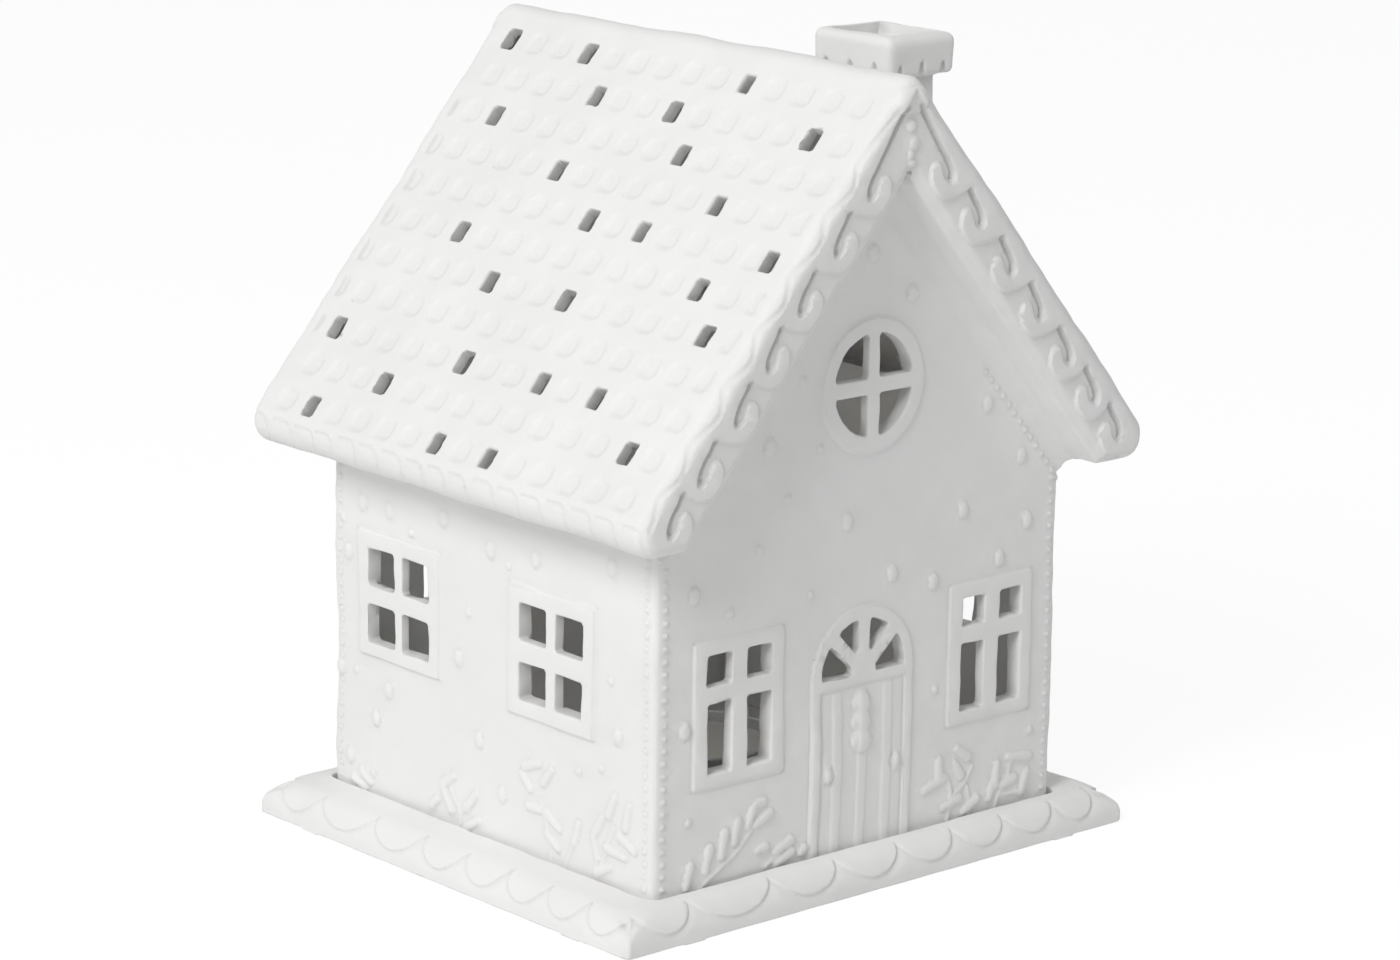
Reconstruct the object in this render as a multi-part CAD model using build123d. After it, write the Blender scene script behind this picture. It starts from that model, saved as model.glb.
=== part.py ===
from build123d import *
import math
import os

# A tealight house of white unglazed porcelain: a hollow, slip-cast house that stands loosely in a
# separate base plate, over one tealight in its thin metal cup. The candle shows through the cut
# windows, the fanlight over the door and the small holes in the roof, and the chimney is its vent.
# The gable with the door faces -Y, the side wall with two windows faces -X, and Z is up.
# The origin is the middle of the base plate's foot. Lengths are millimetres, angles are degrees.

# Walls of the house
wall_width = 120.0
wall_depth = 111.0
wall_thickness = 3.4
wall_corner_radius = 1.8

# Roof: its sloping underside would reach the walls at the eave height, and the flat underside of
# the eaves hangs a little lower
roof_pitch = 49.7
eave_height = 87.9
roof_thickness = 15.1
eave_overhang = 14.5
eave_drop = 1.2
gable_overhang = 12.2
ridge_radius = 4.2
eave_bend_radius = 3.0
gable_bend_radius = 4.0
rake_edge_radius = 3.0
eave_top_share = 0.25
eave_bottom_share = 0.65

# Holes in the roof, one row number and a share of half the roof's depth for each
hole_width = 4.1
hole_length = 5.2
first_row_distance = 11.6
row_pitch = 9.87
hole_place_shares = [
    (1, 0.85), (1, 0.45), (1, -0.34),
    (2, 0.29), (2, -0.09), (2, -0.74),
    (3, 0.70), (3, -0.24),
    (4, 0.26), (4, -0.52),
    (5, -0.01), (5, -0.27), (5, -0.87),
    (6, 0.53), (6, -0.65),
    (7, 0.26), (7, -0.12), (7, -0.79),
    (9, 0.83), (9, 0.16), (9, -0.23), (9, -0.50),
    (10, 0.46), (10, -0.76),
    (11, 0.72), (11, 0.06), (11, -0.20),
]

# Chimney on the slope away from the two-window wall
chimney_x = 28.4
chimney_y = -27.9
chimney_height = 34.2
cap_width = 20.5
cap_depth = 24.1
cap_height = 9.2
cap_overhang = 3.3
cap_lean = 3.0
cap_corner_radius = 1.6
cap_top_radius = 2.0
cap_bottom_radius = 1.3
flue_wall = 2.4
flue_mouth_bevel = 2.6
drip_count = 3
drip_spacing_share = 0.32
drip_width = 2.4
drip_height = 4.4
drip_depth = 1.1

# Relief and bars shared by every window
frame_relief = 0.6
frame_corner_radius = 0.9
bar_depth = 2.7

# Two tall windows beside the door
tall_window_xs = (-36.4, 38.9)
tall_window_sill = 32.6
tall_pane_width = 7.0
tall_lower_pane_height = 15.8
tall_upper_pane_height = 6.8
tall_bar_width = 4.4
tall_rail_height = 3.8
tall_band_side = 3.7
tall_band_end = 3.1

# Square windows in both side walls, and the pair in the back wall
square_window_ys = (31.6, -21.7)
square_window_sills = (43.2, 42.0)
back_window_x = 25.8
back_window_sill = 46.0
square_pane_width = 9.2
square_pane_height = 8.5
square_bar_width = 3.1
square_rail_height = 4.8
square_band = 3.9

# Round window in the front gable
round_window_x = 1.0
round_window_above_eaves = 23.4
round_glass_radius = 11.5
round_ring_radius = 15.2
round_bar_width = 3.5

# Arched door with a fanlight
door_width = 30.6
door_spring_height = 47.2
door_band = 2.7
door_panel_relief = 0.3
fan_radius = 12.3
fan_light_count = 4
fan_rail_height = 3.0
fan_spoke_width = 3.6
fan_hub_radius = 4.0
plank_ridge_width = 2.4
plank_ridge_pitch = 7.6
plank_ridge_count = 3
knob_radius = 1.9
knob_height = 25.5
knob_inset = 2.0
knob_depth_share = 0.5

# Base plate that the house stands in
base_side_margin = 14.8
base_front_margin = 9.3
base_corner_radius = 5.0
base_floor_height = 5.5
rim_height = 8.2
rim_edge_height = 2.1
seat_clearance = 1.4
foot_ring_width = 8.0
foot_recess_depth = 1.5
candle_well_clearance = 1.6
candle_well_depth = 1.0

# Scallops on the rim: where they meet, as shares of half the plate's length along that side,
# counted to the right as someone facing that side sees them
scallop_relief = 0.5
scallop_reach = 8.6
scallop_overlap_share = 1.03
front_scallop_shares = (-0.935, -0.733, -0.417, -0.16, 0.087, 0.31, 0.518, 0.727, 0.90)
side_scallop_shares = (-0.918, -0.692, -0.389, -0.124, 0.109, 0.334, 0.544, 0.747, 0.949)

# Tealight
cup_radius = 19.0
cup_height = 15.5
cup_skin = 0.4
cup_draft = 0.5
cup_bead_radius = 0.45
cup_bead_sides = 6
cup_floor_bevel = 1.2
wax_height = 12.6
wax_dish_depth = 0.5
wax_dish_share = 0.8
tab_radius = 6.5
tab_thickness = 0.3
tab_neck_radius = 1.3
tab_neck_height = 2.6
wick_radius = 0.6
wick_above_wax = 6.5

# Each cut runs past the surface that it leaves by this much
overrun = 2.0

# Sizes that follow from the ones above
rise = math.tan(math.radians(roof_pitch))
slope_cosine = math.cos(math.radians(roof_pitch))
half_width = wall_width / 2
half_depth = wall_depth / 2
eave_x = half_width + eave_overhang
half_roof_depth = half_depth + gable_overhang
inner_apex = eave_height + rise * half_width
outer_apex = inner_apex + roof_thickness / slope_cosine
eave_top = outer_apex - rise * eave_x
eave_bottom = eave_height - eave_drop
eave_face = eave_top - eave_bottom
slope_foot_x = half_width + eave_drop / rise
chimney_top = outer_apex - rise * chimney_x + chimney_height
door_radius = door_width / 2
base_half_width = half_width + base_side_margin
base_half_depth = half_depth + base_front_margin
rim_width = base_front_margin - seat_clearance
candle_floor = base_floor_height - candle_well_depth


def on_front(x, z, depth=0.0):
    """A place on the front wall, looking at it from outside, moved inwards by depth."""
    return Plane(origin=(x, -half_depth + depth, z), x_dir=(1, 0, 0), z_dir=(0, -1, 0))


def on_back(x, z):
    """A place on the back wall, looking at it from outside."""
    return Plane(origin=(x, half_depth, z), x_dir=(-1, 0, 0), z_dir=(0, 1, 0))


def on_side(side, y, z):
    """The same on a side wall, with side -1 or 1 for the wall at -X or +X."""
    return Plane(origin=(side * half_width, y, z), x_dir=(0, side, 0), z_dir=(side, 0, 0))


def near(sketch, places):
    """The corners of a flat outline that lie at the given places, by their X and Z."""
    found = []
    for corner in sketch.vertices():
        for x, z in places:
            if math.hypot(corner.X - x, corner.Z - z) < ridge_radius / 100:
                found.append(corner)
    return found


def roof_outline():
    """The roof's section across the ridge: a thick chevron with soft ends at the eaves."""
    points = [
        (0, outer_apex), (eave_x, eave_top), (eave_x, eave_bottom), (slope_foot_x, eave_bottom),
        (0, inner_apex), (-slope_foot_x, eave_bottom), (-eave_x, eave_bottom), (-eave_x, eave_top),
    ]
    face = make_face(Plane.XZ * Polyline(*points, close=True))
    turn = math.radians(90 - roof_pitch) / 2
    face = fillet(near(face, [(0, outer_apex)]), ridge_radius)
    top_radius = eave_face * eave_top_share / math.tan(turn)
    face = fillet(near(face, [(eave_x, eave_top), (-eave_x, eave_top)]), top_radius)
    bottoms = [(eave_x, eave_bottom), (-eave_x, eave_bottom)]
    return fillet(near(face, bottoms), eave_face * eave_bottom_share)


def walls():
    """Four upright walls with gables, ending inside the roof."""
    inside = roof_thickness / 2
    points = [
        (-half_width, base_floor_height), (half_width, base_floor_height),
        (half_width, eave_height + inside), (0, inner_apex + inside),
        (-half_width, eave_height + inside),
    ]
    body = extrude(make_face(Plane.XZ * Polyline(*points, close=True)), half_depth, both=True)
    return fillet(body.edges().filter_by(Axis.Z), wall_corner_radius)


def roof():
    """The roof, with soft edges all round both of its ends."""
    body = extrude(roof_outline(), half_roof_depth, both=True)
    ends = body.faces().filter_by(Axis.Y).sort_by(Axis.Y)
    return fillet(ends[0].edges() + ends[-1].edges(), rake_edge_radius)


def bend_section(radius):
    """What fills the angle of a wall and the roof above it up to a hollow bend.

    The angle is at the origin, with the open air at positive x and y.
    """
    size = radius + wall_thickness
    block = Pos(radius - size / 2, radius - size / 2) * Rectangle(size, size)
    return block - Pos(radius, radius) * Circle(radius)


def bends():
    """Hollow bends where the walls meet the eaves and the gables' overhangs, mitred at the corners."""
    eave = Plane(origin=(half_width, 0, eave_bottom), x_dir=(1, 0, 0), z_dir=(0, 1, 0))
    along_eave = extrude(eave * bend_section(eave_bend_radius), -half_roof_depth)
    slope = Plane(
        origin=(0, -half_depth, inner_apex), x_dir=(0, -1, 0),
        z_dir=(slope_cosine, 0, -rise * slope_cosine),
    )
    along_gable = extrude(slope * bend_section(gable_bend_radius), eave_x / slope_cosine, both=True)
    straight_x = half_width - wall_corner_radius
    straight_y = half_depth - wall_corner_radius
    side = along_eave & Pos(half_width, 0) * Box(wall_width, 2 * straight_y, 2 * outer_apex)
    gable = along_gable & Pos(straight_x / 2, 0) * Box(straight_x, 2 * wall_depth, 2 * outer_apex)
    quarter = side + gable + (along_eave & along_gable)
    half = quarter + mirror(quarter, Plane.YZ)
    return half + mirror(half, Plane.XZ)


def cavity():
    """The hollow inside: one wall's thickness within the walls and within the roof."""
    x = half_width - wall_thickness
    y = half_depth - wall_thickness
    apex = outer_apex - wall_thickness / slope_cosine
    points = [(-x, 0), (x, 0), (x, apex - rise * x), (0, apex), (-x, apex - rise * x)]
    room = extrude(make_face(Plane.XZ * Polyline(*points, close=True)), y, both=True)
    loft_space = extrude(
        offset(roof_outline(), -wall_thickness), half_roof_depth - wall_thickness, both=True
    )
    return room + loft_space


def under_chimney(x, y):
    """Whether a hole at this place would run into the chimney's foot."""
    across = (cap_width + hole_length) / 2
    along = (cap_depth + hole_width) / 2
    return abs(x - chimney_x) < across and abs(y - chimney_y) < along


def roof_holes():
    """Small through-holes in both slopes, in rows along the ridge."""
    cuts = []
    for side in (-1, 1):
        for row, share in hole_place_shares:
            distance = first_row_distance + row_pitch * (row - 1)
            x = side * distance * slope_cosine
            y = share * half_roof_depth
            if under_chimney(x, y):
                continue
            place = Plane(
                origin=(x, y, outer_apex - rise * abs(x)),
                x_dir=(0, 1, 0),
                z_dir=(side * rise * slope_cosine, 0, slope_cosine),
            )
            block = Box(hole_width, hole_length, 2 * (wall_thickness + overrun))
            cuts.append(place * block)
    return cuts


def chimney():
    """Neck and overhanging cap, which widens upwards and has drips along its lower edge."""
    neck_width = cap_width - 2 * cap_overhang
    neck_depth = cap_depth - 2 * cap_overhang
    roof_below = outer_apex - rise * (chimney_x + neck_width / 2)
    neck_top = chimney_top - cap_height / 2
    neck = Pos(chimney_x, chimney_y, (neck_top + roof_below - wall_thickness) / 2) * Box(
        neck_width, neck_depth, neck_top - roof_below + wall_thickness
    )
    foot = RectangleRounded(cap_width, cap_depth, cap_corner_radius)
    cap = extrude(foot, cap_height, taper=-cap_lean)
    cap = fillet(cap.faces().sort_by(Axis.Z)[-1].edges(), cap_top_radius)
    cap = fillet(cap.faces().sort_by(Axis.Z)[0].edges(), cap_bottom_radius)
    tip = Polyline((-drip_width / 2, 0), (drip_width / 2, 0), (0, drip_height), close=True)
    for half, length, spin in ((cap_depth / 2, cap_width, 0), (cap_width / 2, cap_depth, 90)):
        notch = extrude(make_face(Plane.XZ * tip), half + overrun, both=True)
        notch -= Box(drip_width, 2 * (half - drip_depth), 2 * drip_height)
        for n in range(drip_count):
            along = (n - (drip_count - 1) / 2) * drip_spacing_share * length
            cap -= Rot(0, 0, spin) * Pos(along, 0) * notch
    return neck + Pos(chimney_x, chimney_y, chimney_top - cap_height) * cap


def flue():
    """The chimney's way through, with a bevelled mouth."""
    width = cap_width - 2 * cap_overhang - 2 * flue_wall
    depth = cap_depth - 2 * cap_overhang - 2 * flue_wall
    low = outer_apex - rise * (chimney_x + width) - roof_thickness
    shaft = Pos(chimney_x, chimney_y, (chimney_top + overrun + low) / 2) * Box(
        width, depth, chimney_top + overrun - low
    )
    mouth = loft([
        Pos(chimney_x, chimney_y, chimney_top - cap_height / 2) * Rectangle(width, depth),
        Pos(chimney_x, chimney_y, chimney_top)
        * Rectangle(width + 2 * flue_mouth_bevel, depth + 2 * flue_mouth_bevel),
    ])
    return shaft + mouth


def raised(place, outline, relief=frame_relief):
    """An outline standing proud of the wall, and rooted in it."""
    return extrude(place * outline, relief) + extrude(place * outline, -wall_thickness / 2)


def cut_through(place, outline):
    return extrude(place * outline, wall_thickness + overrun, both=True)


def thinned(place, outline):
    """The pocket behind a window's bars, which leaves them at bar_depth."""
    start = bar_depth - frame_relief
    return extrude(place.offset(-start) * outline, -(wall_thickness - start + overrun))


def window(place, pane_width, lower_height, upper_height, bar_width, rail_height, side, end):
    """A four-pane window whose sill is at the place: its frame, and what is cut from the wall."""
    width = 2 * pane_width + bar_width
    height = lower_height + rail_height + upper_height
    middle = Pos(0, height / 2)
    frame = middle * RectangleRounded(width + 2 * side, height + 2 * end, frame_corner_radius)
    panes = []
    for across in (-1, 1):
        x = across * (pane_width + bar_width) / 2
        panes.append(Pos(x, lower_height / 2) * Rectangle(pane_width, lower_height))
        panes.append(Pos(x, height - upper_height / 2) * Rectangle(pane_width, upper_height))
    cuts = [cut_through(place, pane) for pane in panes]
    cuts.append(thinned(place, middle * Rectangle(width, height)))
    return [raised(place, frame)], cuts


def tall_window(place):
    return window(
        place, tall_pane_width, tall_lower_pane_height, tall_upper_pane_height,
        tall_bar_width, tall_rail_height, tall_band_side, tall_band_end,
    )


def square_window(place):
    return window(
        place, square_pane_width, square_pane_height, square_pane_height,
        square_bar_width, square_rail_height, square_band, square_band,
    )


def round_window():
    place = on_front(round_window_x, eave_height + round_window_above_eaves)
    glass = Circle(round_glass_radius)
    cross = Rectangle(2 * round_ring_radius, round_bar_width) + Rectangle(
        round_bar_width, 2 * round_ring_radius
    )
    cuts = [cut_through(place, quarter) for quarter in (glass - cross).faces()]
    cuts.append(thinned(place, glass))
    return [raised(place, Circle(round_ring_radius))], cuts


def fan_lights():
    """The lights of the fanlight: a half disc less its spokes and its hub."""
    half_disc = Circle(fan_radius) - Pos(0, -fan_radius) * Rectangle(4 * fan_radius, 2 * fan_radius)
    spokes = Circle(fan_hub_radius)
    for n in range(1, fan_light_count):
        turn = Rot(0, 0, 180 * n / fan_light_count)
        spokes += turn * Pos(fan_radius, 0) * Rectangle(2 * fan_radius, fan_spoke_width)
    return half_disc - spokes


def arched_outline(radius, drop):
    """A round-headed outline about the door's springing line, reaching down by drop."""
    return Circle(radius) + Pos(0, -drop / 2) * Rectangle(2 * radius, drop)


def door():
    place = on_front(0, door_spring_height)
    drop = door_spring_height - base_floor_height
    whole = arched_outline(door_radius, drop)
    inner = arched_outline(door_radius - door_band, drop)
    panel = inner & Pos(0, -fan_rail_height - drop / 2) * Rectangle(door_width, drop)
    solids = [raised(place, whole - panel), raised(place, panel, door_panel_relief)]
    for n in range(plank_ridge_count):
        x = (n - (plank_ridge_count - 1) / 2) * plank_ridge_pitch
        ridge = Pos(x, -fan_rail_height - drop / 2) * Rectangle(plank_ridge_width, drop)
        solids.append(raised(place, ridge & inner))
    knob_x = door_radius - door_band - knob_inset
    for side in (-1, 1):
        spot = on_front(side * knob_x, knob_height, -door_panel_relief / 2)
        solids.append(spot * scale(Sphere(knob_radius), by=(1, 1, knob_depth_share)))
    lights = fan_lights()
    cuts = [cut_through(place, light) for light in lights.faces()]
    cuts.append(thinned(place, Circle(fan_radius) & Pos(0, fan_radius) * Rectangle(
        2 * fan_radius, 2 * fan_radius)))
    return solids, cuts


def house_shell():
    """The whole slip-cast house: walls, roof and chimney are one piece of porcelain."""
    body = walls() + roof() + bends() + chimney()
    fittings = [round_window(), door()]
    for x in tall_window_xs:
        fittings.append(tall_window(on_front(x, tall_window_sill)))
    for side in (-1, 1):
        for y, sill in zip(square_window_ys, square_window_sills):
            fittings.append(square_window(on_side(side, y, sill)))
        fittings.append(square_window(on_back(side * back_window_x, back_window_sill)))
    for solids, cuts in fittings:
        for solid in solids:
            body += solid
    body -= cavity()
    body -= flue()
    for solids, cuts in fittings:
        body -= cuts
    return body - roof_holes()


def rim_section(half, top):
    """A section of the base plate: flat on top, rounded down to a low upright edge."""
    drop = top - rim_edge_height
    lines = [
        Polyline((0, 0), (half, 0), (half, rim_edge_height)),
        RadiusArc((half, rim_edge_height), (half - drop, top), -drop),
        Polyline((half - drop, top), (drop - half, top)),
        RadiusArc((drop - half, top), (-half, rim_edge_height), -drop),
        Polyline((-half, rim_edge_height), (-half, 0), (0, 0)),
    ]
    return make_face([edge for line in lines for edge in line.edges()])


def rim_body(inset):
    """The plate with a rounded rim and rounded corners, drawn in by inset at its sides and top."""
    half_x = base_half_width - inset
    half_y = base_half_depth - inset
    across = extrude(Plane.XZ * rim_section(half_x, rim_height - inset), half_y, both=True)
    along = extrude(Plane.YZ * rim_section(half_y, rim_height - inset), half_x, both=True)
    corners = extrude(RectangleRounded(2 * half_x, 2 * half_y, base_corner_radius), rim_height)
    return across & along & corners


def scallop_band(shares, half_length, half_across, spin):
    """What stays raised along one side: its scallops, and the flat top behind them."""
    outline = Pos(0, scallop_reach / 2) * Rectangle(2 * half_length, scallop_reach)
    for start, end in zip(shares, shares[1:]):
        middle = half_length * (start + end) / 2
        half = half_length * (end - start) / 2 * scallop_overlap_share
        outline += Pos(middle, 0) * Ellipse(half, scallop_reach)
    slanted = Plane(
        origin=(0, rim_width - half_across, rim_height), x_dir=(1, 0, 0), z_dir=(0, -1, 1)
    )
    return Rot(0, 0, spin) * extrude(slanted * outline, 2 * rim_width, both=True)


def base_plate():
    """The plate: a scalloped rim round a sunk floor, with a round seat for the candle."""
    whole = rim_body(0)
    plate = rim_body(scallop_relief)
    for spin in (0, 180):
        plate += whole & scallop_band(front_scallop_shares, base_half_width, base_half_depth, spin)
        plate += whole & scallop_band(side_scallop_shares, base_half_depth, base_half_width, spin - 90)
    seat = RectangleRounded(
        wall_width + 2 * seat_clearance, wall_depth + 2 * seat_clearance,
        wall_corner_radius + seat_clearance,
    )
    plate -= extrude(Pos(0, 0, base_floor_height) * seat, rim_height)
    plate -= Pos(0, 0, candle_floor) * extrude(
        Circle(cup_radius + cup_bead_radius + candle_well_clearance), rim_height
    )
    hollow = Rectangle(
        2 * (base_half_width - foot_ring_width), 2 * (base_half_depth - foot_ring_width)
    )
    return plate - extrude(hollow, foot_recess_depth)


def tealight_cup():
    """A drawn metal cup, a little wider at the top, with a rolled bead round its mouth."""
    foot = cup_radius - cup_draft
    section = make_face(Polyline(
        (0, 0), (foot - cup_floor_bevel, 0), (foot, cup_floor_bevel), (cup_radius, cup_height),
        (cup_radius - cup_skin, cup_height), (foot - cup_skin, cup_floor_bevel),
        (foot - cup_floor_bevel, cup_skin), (0, cup_skin), close=True,
    ))
    bead = Pos(cup_radius, cup_height - cup_bead_radius) * RegularPolygon(
        cup_bead_radius, cup_bead_sides, major_radius=False
    )
    return Pos(0, 0, candle_floor) * revolve(Plane.XZ * (section + bead), Axis.Z)


def wick_tab():
    """The tin foot of the wick: a disc with a short neck that grips the wick."""
    disc = extrude(Circle(tab_radius), tab_thickness)
    neck = extrude(Circle(tab_neck_radius), tab_neck_height)
    bore = extrude(Circle(wick_radius), tab_neck_height + overrun)
    return Pos(0, 0, candle_floor + cup_skin) * (disc + neck - bore)


def wick():
    low = candle_floor + cup_skin
    height = wax_height + wick_above_wax
    return Pos(0, 0, low) * extrude(Circle(wick_radius), height)


def tealight_wax():
    """The wax fills the cup to just below its mouth and closes round the tab and the wick."""
    foot = cup_radius - cup_draft
    widening = cup_draft / (cup_height - cup_floor_bevel)
    at_top = foot - cup_skin + widening * (wax_height + cup_skin - cup_floor_bevel)
    section = make_face(Polyline(
        (0, 0), (foot - cup_floor_bevel, 0), (foot - cup_skin, cup_floor_bevel - cup_skin),
        (at_top, wax_height), (wax_dish_share * at_top, wax_height),
        (0, wax_height - wax_dish_depth), close=True,
    ))
    body = Pos(0, 0, candle_floor + cup_skin) * revolve(Plane.XZ * section, Axis.Z)
    return body - wick_tab() - wick()


os.makedirs("parts", exist_ok=True)
for name, shape in (
    ("house_shell", house_shell()),
    ("base_plate", base_plate()),
    ("tealight_cup", tealight_cup()),
    ("tealight_wax", tealight_wax()),
    ("wick_tab", wick_tab()),
    ("wick", wick()),
):
    export_step(shape, f"parts/{name}.step")
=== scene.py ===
import math

import bpy
import numpy as np
from mathutils import Matrix, Vector


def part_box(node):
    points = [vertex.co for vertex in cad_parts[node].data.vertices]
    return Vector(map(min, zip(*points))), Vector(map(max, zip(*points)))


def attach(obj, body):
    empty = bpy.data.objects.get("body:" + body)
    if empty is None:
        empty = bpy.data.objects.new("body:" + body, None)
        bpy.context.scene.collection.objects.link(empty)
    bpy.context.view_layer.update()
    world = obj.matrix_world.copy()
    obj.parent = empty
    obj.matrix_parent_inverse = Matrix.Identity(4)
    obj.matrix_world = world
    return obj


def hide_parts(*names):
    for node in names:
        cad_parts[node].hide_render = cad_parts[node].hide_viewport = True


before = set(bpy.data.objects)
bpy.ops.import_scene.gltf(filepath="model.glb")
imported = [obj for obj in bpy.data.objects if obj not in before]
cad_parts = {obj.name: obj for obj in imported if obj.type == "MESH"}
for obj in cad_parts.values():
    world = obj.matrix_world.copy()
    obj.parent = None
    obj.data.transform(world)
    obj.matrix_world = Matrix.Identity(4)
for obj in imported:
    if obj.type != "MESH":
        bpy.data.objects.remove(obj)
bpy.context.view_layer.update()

# A tealight house of white unglazed porcelain on its plate. Lengths here are millimetres, turned
# into metres where Blender needs them. The door faces -Y and the two-window wall faces -X.
MM = 0.001

# Main sizes, taken from the frame
house_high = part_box("house_shell")[1] / MM
plate_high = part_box("base_plate")[1] / MM
cup_low, cup_high = (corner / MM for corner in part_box("tealight_cup"))
wax_low, wax_high = (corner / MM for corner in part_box("tealight_wax"))
wick_low, wick_high = (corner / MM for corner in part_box("wick"))
gable_y = house_high.y
eave_x = house_high.x

# Sizes that the solids were drawn from. The relief's heights are measured from a level a little
# above the plate's foot.
relief_level = 1.0
half_wall_x = 60.0
half_wall_y = 55.5
wall_foot = 4.5
eave_z = 86.9
apex_z = 181.0
pitch = math.radians(49.7)
cos_p, sin_p, rise = math.cos(pitch), math.sin(pitch), math.tan(pitch)

# How the porcelain is made soft
house_voxel = 0.40
plate_voxel = 0.37
soft_rounds = 1
house_triangles = 190000
plate_triangles = 90000

# Relief is drawn on the points this near to a wall's face. A groove's walls are a little steeper
# than its width alone would make them.
wall_reach = 2
groove_steep = 1.4


def smooth(t):
    t = np.clip(t, 0, 1)
    return t * t * (3 - 2 * t)


class Surface:
    """A mesh's points and normals in millimetres, and how far each point is to move outwards."""

    def __init__(self, mesh):
        self.mesh = mesh
        count = len(mesh.vertices)
        flat = np.empty(count * 3, np.float32)
        mesh.vertices.foreach_get("co", flat)
        self.p = flat.reshape(-1, 3).astype(float) / MM
        flat = np.empty(count * 3, np.float32)
        mesh.vertex_normals.foreach_get("vector", flat)
        self.n = flat.reshape(-1, 3).astype(float)
        self.place = self.p - (0, 0, relief_level)
        self.move = np.zeros(count)

    def facing(self, direction, low=0.45, high=0.9):
        return smooth((self.n @ np.array(direction, float) - low) / (high - low))

    def apply(self):
        moved = (self.p + self.n * self.move[:, None]) * MM
        self.mesh.vertices.foreach_set("co", moved.astype(np.float32).ravel())
        self.mesh.update()


class Field:
    """Relief drawn on one face of a surface, in flat coordinates u and v."""

    def __init__(self, surface, chosen, u, v, weight):
        self.surface = surface
        self.index = np.nonzero(chosen)[0]
        self.u, self.v = u[self.index], v[self.index]
        self.weight = weight[self.index]
        self.height = np.zeros(len(self.index))
        self.depth = np.zeros(len(self.index))

    def near(self, low_u, high_u, low_v, high_v):
        return np.nonzero(
            (self.u > low_u) & (self.u < high_u) & (self.v > low_v) & (self.v < high_v)
        )[0]

    def raise_to(self, at, height):
        self.height[at] = np.maximum(self.height[at], height)

    def cut_to(self, at, depth):
        self.depth[at] = np.maximum(self.depth[at], depth)

    def distance(self, points, reach):
        """How far the points near a line of points are from it, and how far along it they are."""
        line = np.array(points, float)
        at = self.near(
            line[:, 0].min() - reach, line[:, 0].max() + reach,
            line[:, 1].min() - reach, line[:, 1].max() + reach,
        )
        best = np.full(len(at), 1e9)
        along = np.zeros(len(at))
        lengths = np.hypot(*(line[1:] - line[:-1]).T)
        total = max(lengths.sum(), 1e-6)
        start = 0.0
        for a, b, length in zip(line[:-1], line[1:], lengths):
            du, dv = self.u[at] - a[0], self.v[at] - a[1]
            step = (b - a) / max(length, 1e-9)
            t = np.clip(du * step[0] + dv * step[1], 0, length)
            d = np.hypot(du - t * step[0], dv - t * step[1])
            better = d < best
            best[better] = d[better]
            along[better] = (start + t[better]) / total
            start += length
        return at, best, along

    def bump(self, u, v, radius, height, tall=1.0):
        """A drop of slip, round or taller than it is wide."""
        high = radius * tall
        at = self.near(u - radius, u + radius, v - high, v + high)
        d = np.hypot((self.u[at] - u) / radius, (self.v[at] - v) / high)
        self.raise_to(at, height * np.sqrt(np.clip(1 - d * d, 0, 1)))

    def cord(self, points, start, height, end=None):
        """A raised round line, start wide to each side at its start and end at its end."""
        end = start if end is None else end
        at, d, along = self.distance(curved(points), max(start, end))
        wide = start + (end - start) * along
        self.raise_to(at, height * np.sqrt(np.clip(1 - (d / wide) ** 2, 0, 1)))

    def groove(self, points, wide, depth):
        """A sunk line, wide to each side."""
        at, d, _ = self.distance(points, wide)
        self.cut_to(at, depth * smooth((wide - d) / wide * groove_steep))

    def plateau(self, outline, height, soft):
        """A raised area with this closed outline, and a slope this wide to each side of it."""
        at, d, _ = self.distance(list(outline) + [outline[0]], soft)
        u, v = self.u[at], self.v[at]
        inside = np.zeros(len(at), bool)
        for (u0, v0), (u1, v1) in zip(outline, list(outline[1:]) + [outline[0]]):
            if v1 != v0:
                inside ^= ((v0 > v) != (v1 > v)) & (u < u0 + (v - v0) * (u1 - u0) / (v1 - v0))
        self.raise_to(at, height * smooth((np.where(inside, d, -d) + soft) / (2 * soft)))

    def apply(self):
        self.surface.move[self.index] += self.weight * (self.height - self.depth)


def curved(points, steps=5):
    """A smooth line through a few points."""
    line = [np.array(p, float) for p in points]
    if len(line) < 3:
        return line
    ends = [2 * line[0] - line[1]] + line + [2 * line[-1] - line[-2]]
    found = []
    for a, b, c, d in zip(ends, ends[1:], ends[2:], ends[3:]):
        for k in range(steps):
            t = k / steps
            found.append(0.5 * (
                2 * b + (c - a) * t + (2 * a - 5 * b + 4 * c - d) * t * t
                + (3 * b - 3 * c + d - a) * t ** 3
            ))
    return found + [line[-1]]


def waves(points, length, count, seed):
    """A soft uneven field about 1 high, with swells about this long."""
    draw = np.random.default_rng(seed)
    total = np.zeros(len(points))
    for n in range(count):
        way = draw.normal(size=3)
        way *= 2 * math.pi / (length * draw.uniform(0.7, 1.5) * np.linalg.norm(way))
        total += np.sin(points @ way + draw.uniform(0, 2 * math.pi))
    return total / math.sqrt(count / 2)


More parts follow.
